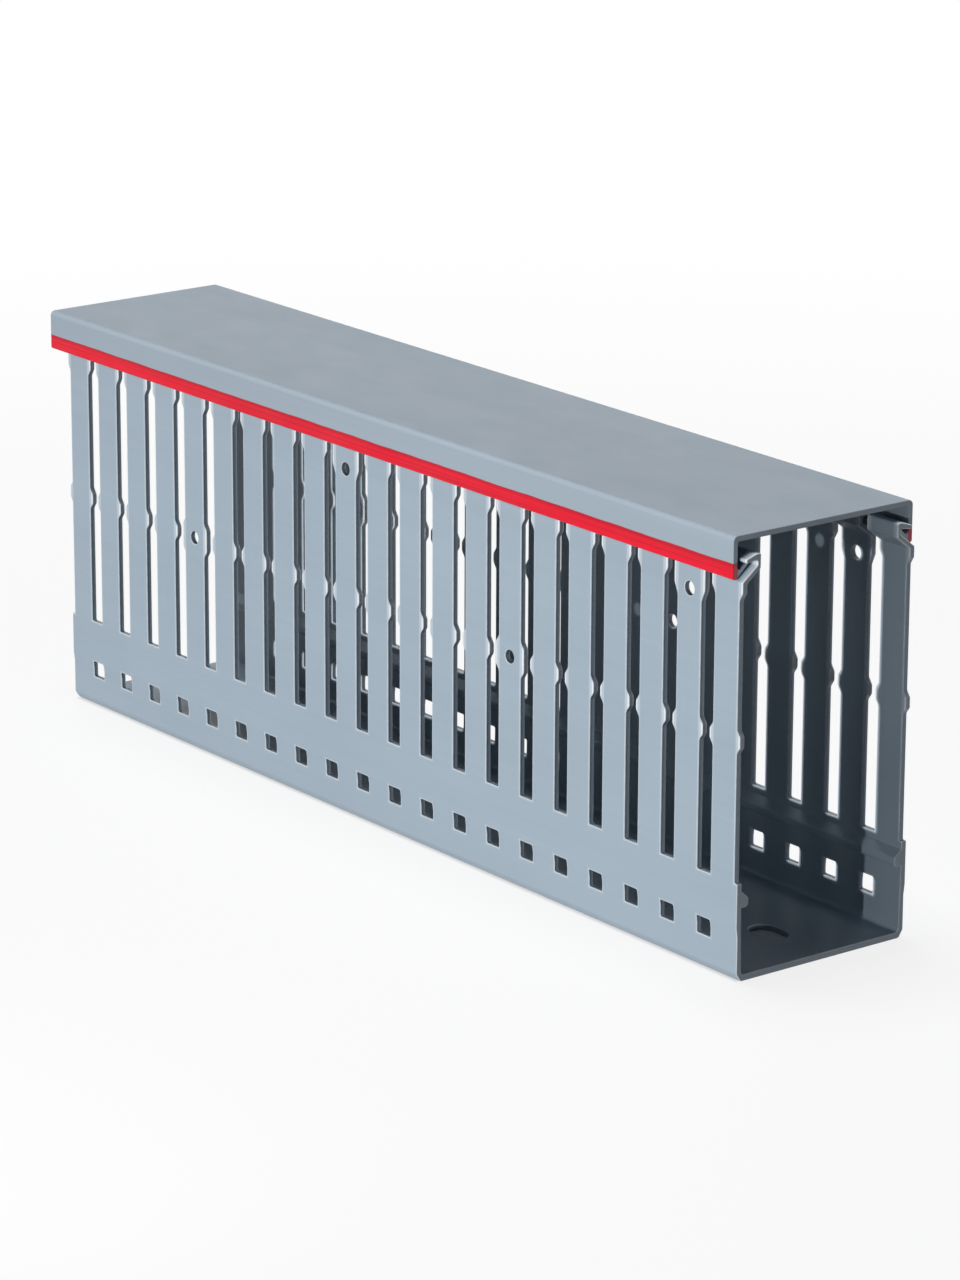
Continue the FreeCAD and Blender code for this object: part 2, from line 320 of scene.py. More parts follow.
def rigid_pvc(tree, colour, roughness, height):
    """Ends a tree in the shader of rigid PVC. The height is in true millimetres."""
    bump = node(tree, "ShaderNodeBump", named={"Height": height, "Distance": MM, "Strength": 1.0})
    shader = node(tree, "ShaderNodeBsdfPrincipled", named={
        "Base Color": colour, "Roughness": roughness, "Normal": bump, "IOR": PVC_IOR,
        "Specular IOR Level": PVC_GLOSS, "Metallic": 0.0})
    node(tree, "ShaderNodeOutputMaterial", shader)


def pigment(tree, position, grey, stripe):
    """Grey with the melt's slow drift and fine streaks, and the red edge where the piece has one."""
    drift = node(tree, RANGE, grain(tree, position, 60, 22, 22), *MOST_OF_NOISE, 0.965, 1.035)
    streak = node(tree, RANGE, grain(tree, position, 90, 1.1, 1.1), *MOST_OF_NOISE, 0.98, 1.02)
    shade = node(tree, MATH, drift, streak, operation="MULTIPLY")
    toned = node(tree, VECTOR, grey[:3], named={"Scale": shade}, operation="SCALE")
    return red_edge(tree, position, toned, *stripe) if stripe else toned


def red_edge(tree, position, grey, red, top, skin):
    """The red, extruded together with the grey as the lower part of both flanges."""
    split = node(tree, SPLIT, position)
    # The two melts meet in a line that wanders by a tenth of a millimetre
    wander = node(tree, RANGE, grain(tree, position, 9, 9, 9), *MOST_OF_NOISE, -0.1, 0.1)
    level = node(tree, MATH, split.outputs[2], wander, operation="ADD")
    low = node(tree, RANGE, level, top + SEAM_BLUR, top - SEAM_BLUR)
    across = node(tree, MATH, split.outputs[1], operation="ABSOLUTE")
    outer = node(tree, RANGE, across, skin - SKIN_BLUR, skin + SKIN_BLUR)
    # Real streaks are 0.2 mm apart; they are drawn 0.5 mm apart so that they show. The red ends in a
    # darker line where it runs out thin over the grey
    streak = node(tree, RANGE, grain(tree, position, 70, 0.5, 0.5), *MIDDLE_OF_NOISE, 0.78, 1.12)
    thin = node(tree, RANGE, level, top - THIN_RED, top - THIN_RED_END, 1.0, THIN_RED_SHADE)
    shade = node(tree, MATH, streak, thin, operation="MULTIPLY")
    toned = node(tree, VECTOR, red[:3], named={"Scale": shade}, operation="SCALE")
    share = node(tree, MATH, low, outer, operation="MULTIPLY")
    return node(tree, MIX, share, named={COLOUR_A: grey, COLOUR_B: toned}, data_type="RGBA")


def extruded_rigid_pvc(name, grey, roughness, stripe=None, whitened_and_highlit=None):
    """Extruded rigid PVC. The die leaves an even satin skin with soft reflections, faint lines along the
    bar and slow waves that bend the highlights a little. A punched bar also gives its white and its sizes;
    its skin is then painted paler beside the cuts as a highlight, and paler between the notches and heads,
    partly whitened by the strain and partly as a painted highlight."""
    material = blank_material(name)
    tree = material.node_tree
    position = position_mm(tree)
    # Real die lines are about 0.3 mm apart; they are drawn 0.9 mm apart so that they show
    lines = node(tree, MATH, grain(tree, position, 120, 0.9, 0.9), LINE_RELIEF, operation="MULTIPLY")
    skin = node(tree, MATH, grain(tree, position, 0.9, 0.7, 0.7, 3), GRAIN_RELIEF, lines,
                operation="MULTIPLY_ADD")
    height = node(tree, MATH, grain(tree, position, 45, 16, 16, 1), WAVE_RELIEF, skin,
                  operation="MULTIPLY_ADD")
    # Handling leaves patches that are a little duller than the rest
    patches = grain(tree, position, 14, 9, 9, 4)
    marks = node(tree, RANGE, patches, 0.3, 0.75, roughness - 0.04, roughness + 0.07)
    colour = pigment(tree, position, grey, stripe)
    if whitened_and_highlit:
        white, sizes = whitened_and_highlit
        # Painted highlight: the skin is paler beside the cuts, and between the notches and heads, where it
        # is partly whitened by the strain too
        rim = node(tree, MATH, painted_rim_highlight(tree, position, sizes), RIM_HIGHLIGHT, operation="MULTIPLY")
        share = node(tree, MATH, rim, strain_white_and_painted_highlight(tree, position, sizes), operation="MAXIMUM")
        colour = node(tree, MIX, share, named={COLOUR_A: colour, COLOUR_B: white}, data_type="RGBA")
    rigid_pvc(tree, colour, marks, height)
    return material


def sawn_rigid_pvc(name, grey, roughness, stripe=None):
    """Sawn rigid PVC. The saw leaves the ends matt and a little paler, with lines across them."""
    material = blank_material(name)
    tree = material.node_tree
    position = position_mm(tree)
    # Real teeth marks are about 0.1 mm apart; they are drawn 0.35 mm apart so that they show
    teeth = grain(tree, position, 0.5, 6.0, 0.35)
    height = node(tree, MATH, teeth, SAWN_RELIEF, operation="MULTIPLY")
    toned = pigment(tree, position, grey, stripe)
    colour = node(tree, MIX, SAWN_PALENESS, named={COLOUR_A: toned, COLOUR_B: WHITE}, data_type="RGBA")
    dull = node(tree, RANGE, teeth, *MOST_OF_NOISE, roughness + 0.12, roughness + 0.28)
    rigid_pvc(tree, colour, dull, height)
    return material


def from_slot_middle(tree, position, sizes):
    """Distance along the duct from the middle of the nearest slot, in millimetres."""
    pitch = in_mm(sizes.slot_pitch)
    # Slots lie half a pitch from the middle of the duct
    along = node(tree, MATH, node(tree, SPLIT, position), SLOTS_PAST_DUCT * pitch, operation="ADD")
    return node(tree, MATH, along, pitch / 2, operation="PINGPONG")


def strain_white_and_painted_highlight(tree, position, sizes):
    """One on the narrow parts between notches or heads, where two strokes of the punch nearly meet, and
    zero elsewhere. There the plastic is paler, partly whitened by the strain and partly as a painted
    highlight on these narrow edges."""
    wide, narrow = in_mm(sizes.slot_width) / 2, in_mm(sizes.finger_gap) / 2
    near = node(tree, RANGE, from_slot_middle(tree, position, sizes), wide - WHITE_SHORT_OF_WIDE,
                narrow + WHITE_FROM_NARROW, interpolation_type="SMOOTHSTEP")
    above = node(tree, RANGE, node(tree, SPLIT, position).outputs[2], WHITENS_FROM, WHITENS_TO)
    patchy = node(tree, RANGE, grain(tree, position, 1.2, 2.5, 1.2), 0.2, 0.8, 0.75, 1.0)
    even = node(tree, MATH, near, above, operation="MULTIPLY")
    return node(tree, MATH, even, patchy, operation="MULTIPLY")


def painted_rim_highlight(tree, position, sizes):
    """One beside the slots and square holes, where a pale rim is painted as a highlight along the cut, and
    zero elsewhere.
    """
    height = node(tree, SPLIT, position).outputs[2]
    across = from_slot_middle(tree, position, sizes)
    beside_slot = node(tree, MATH, across, in_mm(sizes.slot_width) / 2, operation="SUBTRACT")
    under_slot = node(tree, MATH, in_mm(sizes.slot_bottom), height, operation="SUBTRACT")
    from_slot = node(tree, MATH, beside_slot, under_slot, operation="MAXIMUM")
    beside_hole = node(tree, MATH, across, SQUARE_HOLE_WIDTH / 2, operation="SUBTRACT")
    rise = node(tree, MATH, height, SQUARE_HOLE_CENTRE, operation="SUBTRACT")
    off_centre = node(tree, MATH, rise, operation="ABSOLUTE")
    above_hole = node(tree, MATH, off_centre, SQUARE_HOLE_HEIGHT / 2, operation="SUBTRACT")
    from_hole = node(tree, MATH, beside_hole, above_hole, operation="MAXIMUM")
    # The row of holes ends before the end fingers do
    row_end = DUCT_HIGH[0] - in_mm(sizes.slot_pitch) / 2
    off_middle = node(tree, MATH, node(tree, SPLIT, position), operation="ABSOLUTE")
    past_row = node(tree, MATH, off_middle, row_end, operation="SUBTRACT")
    from_row = node(tree, MATH, from_hole, past_row, operation="MAXIMUM")
    distance = node(tree, MATH, from_slot, from_row, operation="MINIMUM")
    return node(tree, RANGE, distance, HIGHLIGHT_RIM_FROM, HIGHLIGHT_RIM_TO, interpolation_type="SMOOTHSTEP")


def punched_rigid_pvc(name, grey, white, sizes):
    """Punched rigid PVC. The punch shears it smooth and rather shiny, with lines along its stroke. Where
    two cuts nearly meet it is a little whiter, partly by the strain and partly as a painted highlight."""
    material = blank_material(name)
    tree = material.node_tree
    position = position_mm(tree)
    # Real lines of the stroke are about 0.1 mm apart; they are drawn 0.4 mm apart so that they show
    streak = node(tree, RANGE, grain(tree, position, 0.4, 3.0, 0.4), *MOST_OF_NOISE, 0.92, 1.08)
    toned = node(tree, VECTOR, grey[:3], named={"Scale": streak}, operation="SCALE")
    # The cut faces between the notches and heads are paler, partly whitened by the strain and partly as a
    # painted highlight
    share = node(tree, MATH, strain_white_and_painted_highlight(tree, position, sizes), CUT_STRAIN_AND_HIGHLIGHT, operation="MULTIPLY")
    colour = node(tree, MIX, share, named={COLOUR_A: toned, COLOUR_B: white}, data_type="RGBA")
    shine = node(tree, RANGE, grain(tree, position, 0.8, 2.0, 0.8), *MOST_OF_NOISE, 0.24, 0.38)
    height = node(tree, MATH, grain(tree, position, 0.35, 4.0, 0.35), PUNCHED_RELIEF, operation="MULTIPLY")
    rigid_pvc(tree, colour, shine, height)
    return material


def highlighted_edge_pvc(name, grey, white, sizes):
    """Rounded edges of rigid PVC. The punch draws them in and hands polish them, so they are shinier than
    the skin beside them; they are also painted paler as a highlight, most of all at the notches and heads,
    where the white is partly the strain's."""
    material = blank_material(name)
    tree = material.node_tree
    position = position_mm(tree)
    # Painted highlight: every rounded edge is mixed part of the way to white
    painted_edge_highlight = node(tree, RANGE, grain(tree, position, 2.0, 2.0, 2.0, 3), *MIDDLE_OF_NOISE, 0.3, 0.5)
    share = node(tree, MATH, painted_edge_highlight, strain_white_and_painted_highlight(tree, position, sizes), operation="MAXIMUM")
    colour = node(tree, MIX, share, named={COLOUR_A: grey, COLOUR_B: white}, data_type="RGBA")
    shine = node(tree, RANGE, grain(tree, position, 3.0, 3.0, 3.0), *MIDDLE_OF_NOISE, 0.24, 0.32)
    height = node(tree, MATH, grain(tree, position, 0.6, 0.6, 0.6), RUBBED_RELIEF, operation="MULTIPLY")
    rigid_pvc(tree, colour, shine, height)
    return material


def rounded_outline(corners):
    """Points of a closed outline through corners (a, b, radius), with an arc at each rounded one."""
    points = []
    for index, (a, b, radius) in enumerate(corners):
        here = Vector((a, b))
        if radius == 0:
            points.append(here)
            continue
        before = (Vector(corners[index - 1][:2]) - here).normalized()
        after = (Vector(corners[(index + 1) % len(corners)][:2]) - here).normalized()
        half_angle = before.angle(after) / 2
        centre = here + (before + after).normalized() * (radius / math.sin(half_angle))
        arm = here + before * (radius / math.tan(half_angle)) - centre
        turn = math.pi - 2 * half_angle
        way = 1 if before.cross(after) < 0 else -1
        steps = max(2, math.ceil(turn / ARC_STEP))
        for step in range(steps + 1):
            points.append(centre + Matrix.Rotation(way * turn * step / steps, 2) @ arm)
    return points


def circle(a, b, radius, sides):
    """Points of a circle, the first of them above its middle."""
    turns = [math.pi / 2 + 2 * math.pi * side / sides for side in range(sides)]
    return [Vector((a + radius * math.cos(turn), b + radius * math.sin(turn))) for turn in turns]


def sweep(mesh, outline, place, stations):
    """Adds a closed bar: the outline at each station, joined by quads and capped at both ends."""
    rings = [[mesh.verts.new(place(point.x, point.y, at)) for point in outline] for at in stations]
    count = len(outline)
    for first, second in zip(rings, rings[1:]):
        for index in range(count):
            after = (index + 1) % count
            mesh.faces.new((first[index], first[after], second[after], second[index]))
    mesh.faces.new(rings[0])
    mesh.faces.new(rings[-1])


def shape_object(name, bars):
    """An object in the scene from bars, each the outline, place function and stations of sweep."""
    mesh = bmesh.new()
    for outline, place, stations in bars:
        sweep(mesh, outline, place, stations)
    bmesh.ops.recalc_face_normals(mesh, faces=mesh.faces)
    for face in mesh.faces:
        face.smooth = True
    data = bpy.data.meshes.new(name)
    mesh.to_mesh(data)
    mesh.free()
    made = bpy.data.objects.new(name, data)
    bpy.context.scene.collection.objects.link(made)
    return made


def along_duct(a, b, at):
    """A section's point (y, z) at a station along X."""
    return Vector((at, a, b))


def through_walls(a, b, at):
    """A wall outline's point (x, z) at a station along Y."""
    return Vector((a, at, b))


def through_floor(a, b, at):
    """A floor outline's point (x, y) at a station along Z."""
    return Vector((a, b, at))


def inward(distance):
    """The y of a point that lies this far in from the outer face of the wall at +Y."""
    return HALF_WIDTH - distance


def mirrored(half):
    """The half section's corners, followed by their mirror images in reverse order."""
    return half + [(-y, z, radius) for y, z, radius in reversed(half)]


def duct_section(sizes):
    """Corners of the U-shaped section with feet, beads, shoulders and hooks."""
    wall = in_mm(sizes.wall_thickness)
    bead_side = BEAD_BOTTOM + BEAD_HEIGHT
    slope = math.atan2(SHOULDER_RISE, SHOULDER_RUN)
    inner_drop = SHOULDER_THICKNESS / math.cos(slope)
    neck_base = SHOULDER_TOP + NECK_THICKNESS * math.tan(slope) - inner_drop
    wall_top = SHOULDER_BOTTOM + wall * math.tan(slope) - inner_drop
    tip_in = SHOULDER_RUN - HOOK_REACH
    outside = [
        (inward(FOOT_SETBACK + BOTTOM_BEVEL_RUN), 0, BOTTOM_BEVEL_RADIUS),
        (inward(FOOT_SETBACK), BOTTOM_BEVEL_RISE, BOTTOM_BEVEL_RADIUS),
        (inward(FOOT_SETBACK), FOOT_TOP - FOOT_STEP, 0),
        (inward(0), FOOT_TOP, 0),
        (inward(0), SHOULDER_BOTTOM, SHOULDER_RADIUS),
        (inward(SHOULDER_RUN), SHOULDER_TOP, NECK_RADIUS),
        (inward(SHOULDER_RUN), HOOK_UNDERSIDE, NECK_RADIUS),
        (inward(tip_in), HOOK_UNDERSIDE - HOOK_DROP, HOOK_TIP_RADIUS),
        (inward(tip_in), HOOK_TOP - 2 * HOOK_DROP, HOOK_TIP_RADIUS),
        (inward(NECK_INNER_IN - HOOK_CROWN_RUN), HOOK_TOP, HOOK_BACK_RADIUS),
        (inward(NECK_INNER_IN), HOOK_TOP, HOOK_BACK_RADIUS / 2),
    ]
    inside = [
        (inward(NECK_INNER_IN), neck_base, SHOULDER_RADIUS),
        (inward(wall), wall_top, SHOULDER_RADIUS),
        (inward(wall), bead_side + BEAD_SLOPE_HEIGHT, BEAD_ROOT_RADIUS),
        (inward(wall + BEAD_REACH), bead_side, BEAD_TIP_RADIUS),
        (inward(wall + BEAD_REACH), BEAD_BOTTOM, BEAD_TIP_RADIUS),
        (inward(wall), BEAD_BOTTOM, BEAD_ROOT_RADIUS),
        (inward(wall + FOOT_SETBACK), in_mm(sizes.floor_thickness), INNER_CORNER_RADIUS),
    ]
    return mirrored(outside + inside)


def cover_section(sizes):
    """Corners of the cover's section, its lips turned up inside both flanges."""
    stand_out = COVER_HIGH[1] - HALF_WIDTH
    inner = FLANGE_THICKNESS - stand_out
    slope = math.atan2(LIP_RISE, LIP_TIP_IN)
    lip_root = FLANGE_BOTTOM + inner * math.tan(slope) + LIP_THICKNESS / math.cos(slope)
    return mirrored([
        (inward(-stand_out), COVER_TOP, COVER_EDGE_RADIUS),
        (inward(-stand_out), FLANGE_BOTTOM, FLANGE_TOE_RADIUS),
        (inward(0), FLANGE_BOTTOM, FLANGE_TOE_RADIUS),
        (inward(LIP_TIP_IN), FLANGE_BOTTOM + LIP_RISE, LIP_TIP_RADIUS),
        (inward(LIP_TIP_IN - LIP_THICKNESS / 2), LIP_TIP_TOP, LIP_TIP_RADIUS),
        (inward(inner), lip_root, COVER_INNER_RADIUS),
        (inward(inner), COVER_TOP - in_mm(sizes.cover_thickness), COVER_INNER_RADIUS),
    ])


def half_slot(sizes, kind, sign):
    """Outline of the half slot on one side of a finger, about the finger's centre line."""
    border = in_mm(sizes.slot_pitch) / 2
    wide = sign * (border - in_mm(sizes.slot_width) / 2)
    narrow = sign * (border - in_mm(sizes.finger_gap) / 2)
    bottom = in_mm(sizes.slot_bottom)
    middle = in_mm(sizes.notch_height)
    notch = (HELD_NOTCH_FLAT if kind == MID_HOLE else NOTCH_FLAT) / 2
    held = kind == HIGH_HOLE
    head = FLANGE_BOTTOM - (HELD_HEAD_BELOW_COVER if held else HEAD_BELOW_COVER)
    slope = HELD_HEAD_SLOPE if held else HEAD_SLOPE
    return rounded_outline([
        (wide, bottom, SLOT_CORNER_RADIUS),
        (wide, middle - notch - NOTCH_SLOPE, OUTLINE_RADIUS),
        (narrow, middle - notch, OUTLINE_RADIUS),
        (narrow, middle + notch, OUTLINE_RADIUS),
        (wide, middle + notch + NOTCH_SLOPE, OUTLINE_RADIUS),
        (wide, head - slope, OUTLINE_RADIUS),
        (narrow, head, OUTLINE_RADIUS),
        (narrow, COVER_TOP, 0),
        (sign * border, COVER_TOP, 0),
        (sign * border, bottom, 0),
    ])


def finger_punch(sizes, kind):
    """What is punched away on both sides of one finger, with its round hole if it has one."""
    bars = [(half_slot(sizes, kind, sign), through_walls, WALL_STROKE) for sign in (-1, 1)]
    if kind != PLAIN:
        height = in_mm(sizes.notch_height) if kind == MID_HOLE else HIGH_HOLE_CENTRE
        ring = circle(0, height, in_mm(sizes.hole_diameter) / 2, HOLE_SIDES)
        bars.append((ring, through_walls, WALL_STROKE))
    return shape_object("punch " + kind, bars)


def square_punch():
    """The punch of the hole under a slot."""
    half = SQUARE_HOLE_WIDTH / 2
    low = SQUARE_HOLE_CENTRE - SQUARE_HOLE_HEIGHT / 2
    high = low + SQUARE_HOLE_HEIGHT
    around = [(-half, low), (half, low), (half, high), (-half, high)]
    outline = rounded_outline([(*corner, SLOT_CORNER_RADIUS) for corner in around])
    return shape_object("punch square", [(outline, through_walls, WALL_STROKE)])


def floor_punch():
    """The punch of a mounting slot in the floor, whose ends are all but half round."""
    radius = FLOOR_SLOT_WIDTH / 2
    half = FLOOR_SLOT_LENGTH / 2
    around = [(-half, -radius), (half, -radius), (half, radius), (-half, radius)]
    outline = rounded_outline([(*corner, radius - FLOOR_SLOT_FLAT) for corner in around])
    return shape_object("punch floor slot", [(outline, through_floor, FLOOR_STROKE)])


def punching_tree():
    """Geometry nodes that repeat the punches along a bar, cut them out of it and finish its ends."""
    tree = bpy.data.node_groups.new("Punch a duct", "GeometryNodeTree")
    ports = {
        "NodeSocketGeometry": ("Bar",),
        "NodeSocketInt": ("Fingers", "Holed every", "Floor slots", "Floor slot every"),
        "NodeSocketFloat": ("Pitch", "First floor slot"),
        "NodeSocketObject": (
            "Plain punch", "Middle hole punch", "High hole punch", "Square punch", "Floor punch"),
        "NodeSocketMaterial": ("Skin", "Punched", "Sawn"),
    }
    for kind, names in ports.items():
        for name in names:
            tree.interface.new_socket(name, in_out="INPUT", socket_type=kind)
    tree.interface.new_socket("Punched bar", in_out="OUTPUT", socket_type="NodeSocketGeometry")
    given = node(tree, "NodeGroupInput").outputs

    def row(count, start, step):
        """A row of points along X."""
        first = node(tree, "ShaderNodeCombineXYZ", start)
        stride = node(tree, "ShaderNodeCombineXYZ", step)
        return node(tree, "GeometryNodeMeshLine", mode="OFFSET",
                    named={"Count": count, "Start Location": first, "Offset": stride})

    def punches(points, tool, chosen=True):
        """The punch at each chosen point."""
        shape = node(tree, "GeometryNodeObjectInfo", named={"Object": tool}).outputs["Geometry"]
        return node(tree, "GeometryNodeInstanceOnPoints",
                    named={"Points": points, "Selection": chosen, "Instance": shape})

    slot_count = node(tree, WHOLE, given["Fingers"], 1, operation="SUBTRACT")
    half_back = node(tree, MATH, given["Pitch"], -0.5, operation="MULTIPLY")
    first_finger = node(tree, MATH, slot_count, half_back, operation="MULTIPLY")
    first_slot = node(tree, MATH, first_finger, half_back, operation="SUBTRACT")
    floor_pitch = node(tree, MATH, given["Pitch"], given["Floor slot every"], operation="MULTIPLY")
    fingers = row(given["Fingers"], first_finger, given["Pitch"])
    slots = row(slot_count, first_slot, given["Pitch"])
    floor_slots = row(given["Floor slots"], given["First floor slot"], floor_pitch)

    # Holed fingers come at every fifth place, in turn with the hole in the middle and near the head
    cycle = node(tree, WHOLE, given["Holed every"], 2, operation="MULTIPLY")
    place = node(tree, WHOLE, node(tree, "GeometryNodeInputIndex"), cycle, operation="MODULO")
    mid_place = node(tree, WHOLE, given["Holed every"], 1, operation="SUBTRACT")
    high_place = node(tree, WHOLE, cycle, 1, operation="SUBTRACT")
    mid = node(tree, COMPARE, named={WHOLE_A: place, WHOLE_B: mid_place}, data_type="INT",
               operation="EQUAL")
    high = node(tree, COMPARE, named={WHOLE_A: place, WHOLE_B: high_place}, data_type="INT",
                operation="EQUAL")
    plain = node(tree, LOGIC, mid, high, operation="NOR")
    tools = [
        punches(fingers, given["Plain punch"], plain),
        punches(fingers, given["Middle hole punch"], mid),
        punches(fingers, given["High hole punch"], high),
        punches(slots, given["Square punch"]),
        punches(floor_slots, given["Floor punch"]),
    ]

    # The tools carry the finish of the cut, and each face that they leave keeps it
    joined = node(tree, "GeometryNodeJoinGeometry", tools)
    coated = node(tree, "GeometryNodeSetMaterial", node(tree, "GeometryNodeRealizeInstances", joined),
                  named={"Material": given["Punched"]})
    cut = node(tree, "GeometryNodeMeshBoolean", operation="DIFFERENCE", solver="EXACT",
               named={"Mesh 1": given["Bar"], "Mesh 2": coated, "Self Intersection": True})
    facing = node(tree, SPLIT, node(tree, "GeometryNodeInputNormal"))
    end_on = node(tree, COMPARE, node(tree, MATH, facing, operation="ABSOLUTE"), END_FACE,
                  operation="GREATER_THAN")
    of_skin = node(tree, "GeometryNodeMaterialSelection", given["Skin"])
    ends = node(tree, LOGIC, end_on, of_skin, operation="AND")
    whole = node(tree, "GeometryNodeRealizeInstances", cut)
    finished = node(tree, "GeometryNodeSetMaterial", whole,
                    named={"Selection": ends, "Material": given["Sawn"]})
    node(tree, "NodeGroupOutput", finished)
    return tree


def set_inputs(modifier, values):
    """Fills the modifier's inputs by their names in its tree."""
    for item in modifier.node_group.interface.items_tree:
        if item.in_out == "INPUT" and item.name in values:
            modifier[item.identifier] = values[item.name]


def soften_edges(shape, width, slot):
    """Rounds every sharp edge, gives it the material in a slot, and evens the shading beside it."""
    bevel = shape.modifiers.new("Rounded edges", "BEVEL")
    bevel.width = width
    bevel.segments = EDGE_STEPS
    bevel.limit_method = "ANGLE"
    bevel.angle_limit = EDGE_LIMIT
    bevel.use_clamp_overlap = False
    bevel.material = slot
    even = shape.modifiers.new("Even shading", "WEIGHTED_NORMAL")
    even.weight = EDGE_SHADING


def finish_piece(shape, name, cad_node, body):
    """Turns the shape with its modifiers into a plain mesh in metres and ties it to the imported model."""
    evaluated = shape.evaluated_get(bpy.context.evaluated_depsgraph_get())
    data = bpy.data.meshes.new_from_object(evaluated)
    data.transform(Matrix.Scale(MM, 4))
    data.name = name
    shape.modifiers.clear()
    shape.data = data
    shape.name = name
    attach(shape, body)
    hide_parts(cad_node)


class WIREDUCT_OT_duct(bpy.types.Operator):
    """Build the punched duct in place of its CAD solid"""

    bl_idname = "wireduct.duct"
    bl_label = "Punched duct"

    def execute(self, context):
        sizes = context.scene.wire_duct_sizes
        finish = context.scene.wire_duct_finish
        pitch = in_mm(sizes.slot_pitch)
        left, right = DUCT_LOW[0], DUCT_HIGH[0]
        finger_width = pitch - in_mm(sizes.slot_width)
        fingers = math.floor((right - left - finger_width) / pitch) + 1
        half_steps = [(step - fingers + 1) * pitch / 2 for step in range(2 * fingers - 1)]
        section = rounded_outline(duct_section(sizes))
        bar = shape_object("duct bar", [(section, along_duct, [left, *half_steps, right])])

        grey, white = tuple(finish.duct_grey), tuple(finish.strain_and_highlight_white)
        skin = extruded_rigid_pvc("Extruded rigid PVC, duct grey", grey, finish.roughness,
                                  whitened_and_highlit=(white, sizes))
        punched = punched_rigid_pvc("Punched rigid PVC, duct grey", grey, white, sizes)
        sawn = sawn_rigid_pvc("Sawn rigid PVC, duct grey", grey, finish.roughness)
        painted_edge_highlight = highlighted_edge_pvc("Rubbed rigid PVC, duct grey", grey, white, sizes)
        materials = [skin, punched, sawn, painted_edge_highlight]
        for material in materials:
            bar.data.materials.append(material)

        tools = {
            "Plain punch": finger_punch(sizes, PLAIN),
            "Middle hole punch": finger_punch(sizes, MID_HOLE),
            "High hole punch": finger_punch(sizes, HIGH_HOLE),
            "Square punch": square_punch(),
            "Floor punch": floor_punch(),
        }
        punching = bar.modifiers.new("Punching", "NODES")
        punching.node_group = punching_tree()
        set_inputs(punching, {
            **tools, "Fingers": fingers, "Pitch": pitch, "Holed every": HOLED_FINGER_STEP,
            "Floor slots": math.ceil((fingers - FIRST_FLOOR_SLOT_FINGER) / FLOOR_SLOT_STEP),
            "Floor slot every": FLOOR_SLOT_STEP,
            "First floor slot": (FIRST_FLOOR_SLOT_FINGER - (fingers - 1) / 2) * pitch,
            "Skin": skin, "Punched": punched, "Sawn": sawn,
        })
        soften_edges(bar, in_mm(sizes.punched_edge), materials.index(painted_edge_highlight))
        finish_piece(bar, "Duct", DUCT_NODE, "base")
        for tool in tools.values():
            bpy.data.objects.remove(tool)
        return {"FINISHED"}


class WIREDUCT_OT_cover(bpy.types.Operator):
    """Build the clip-on cover with its red edges in place of its CAD solid"""

    bl_idname = "wireduct.cover"
    bl_label = "Clip-on cover"

    def execute(self, context):
        sizes = context.scene.wire_duct_sizes
        finish = context.scene.wire_duct_finish
        section = rounded_outline(cover_section(sizes))
        bar = shape_object("cover bar", [(section, along_duct, (COVER_LOW[0], COVER_HIGH[0]))])

        stripe_top = FLANGE_BOTTOM + in_mm(sizes.stripe_height)
        stripe = (tuple(finish.edge_red), stripe_top, COVER_HIGH[1] - FLANGE_THICKNESS)
        grey = tuple(finish.cover_grey)
        skin = extruded_rigid_pvc("Extruded rigid PVC, cover grey with red edge", grey, finish.roughness,
                                  stripe)
        sawn = sawn_rigid_pvc("Sawn rigid PVC, cover grey with red edge", grey, finish.roughness, stripe)
        materials = [skin, sawn]
        for material in materials:
            bar.data.materials.append(material)
        for face in bar.data.polygons:
            if abs(face.normal.x) > END_FACE:
                face.material_index = materials.index(sawn)
        soften_edges(bar, in_mm(sizes.cover_edge), materials.index(skin))
        finish_piece(bar, "Cover", COVER_NODE, "cover")
        return {"FINISHED"}


def seen_ray(tree):
    """One for rays that show a surface to the eye, by themselves or in gloss, and zero for stray light."""
    ray = node(tree, "ShaderNodeLightPath").outputs
    mirrored_or_seen = node(tree, MATH, ray["Is Camera Ray"], ray["Is Glossy Ray"], operation="MAXIMUM")
    return node(tree, MATH, mirrored_or_seen, ray["Is Transmission Ray"], operation="MAXIMUM")


def studio_floor():
    """Matt white card: white to the eye with the duct's soft shadow, dark grey as stray light."""
    floor = blank_material("Matt white card")
    tree = floor.node_tree
    stray = node(tree, "ShaderNodeBsdfDiffuse", linear("#3C4248"))
    card = node(tree, "ShaderNodeBsdfDiffuse", linear("#F7F7F7"))
    glow = node(tree, "ShaderNodeEmission", WHITE, 1.0)
    # The shadow fades out away from the duct, so that the floor runs into the backdrop without a line
    place = node(tree, COORDINATES).outputs["Object"]
    far = node(tree, VECTOR, place, operation="LENGTH").outputs["Value"]
    fade = node(tree, RANGE, far, SHADOW_NEAR, SHADOW_FAR, WHITE_NEAR, 1.0, interpolation_type="SMOOTHSTEP")
    # Under the duct the card has its own shade, which shows through the mounting slots
    split = node(tree, SPLIT, place)
    past_end = node(tree, MATH, node(tree, MATH, split.outputs[0], operation="ABSOLUTE"),
                    DUCT_HIGH[0] * MM, operation="SUBTRACT")
    past_side = node(tree, MATH, node(tree, MATH, split.outputs[1], operation="ABSOLUTE"),
                     HALF_WIDTH * MM, operation="SUBTRACT")
    past = node(tree, MATH, past_end, past_side, operation="MAXIMUM")
    open_floor = node(tree, RANGE, past, -SHADE_UNDER_DUCT, 0.0)
    share = node(tree, MATH, fade, open_floor, operation="MULTIPLY")
    shown = node(tree, "ShaderNodeMixShader", share, card, glow)
    both = node(tree, "ShaderNodeMixShader", seen_ray(tree), stray, shown)
    node(tree, "ShaderNodeOutputMaterial", both)
    return floor


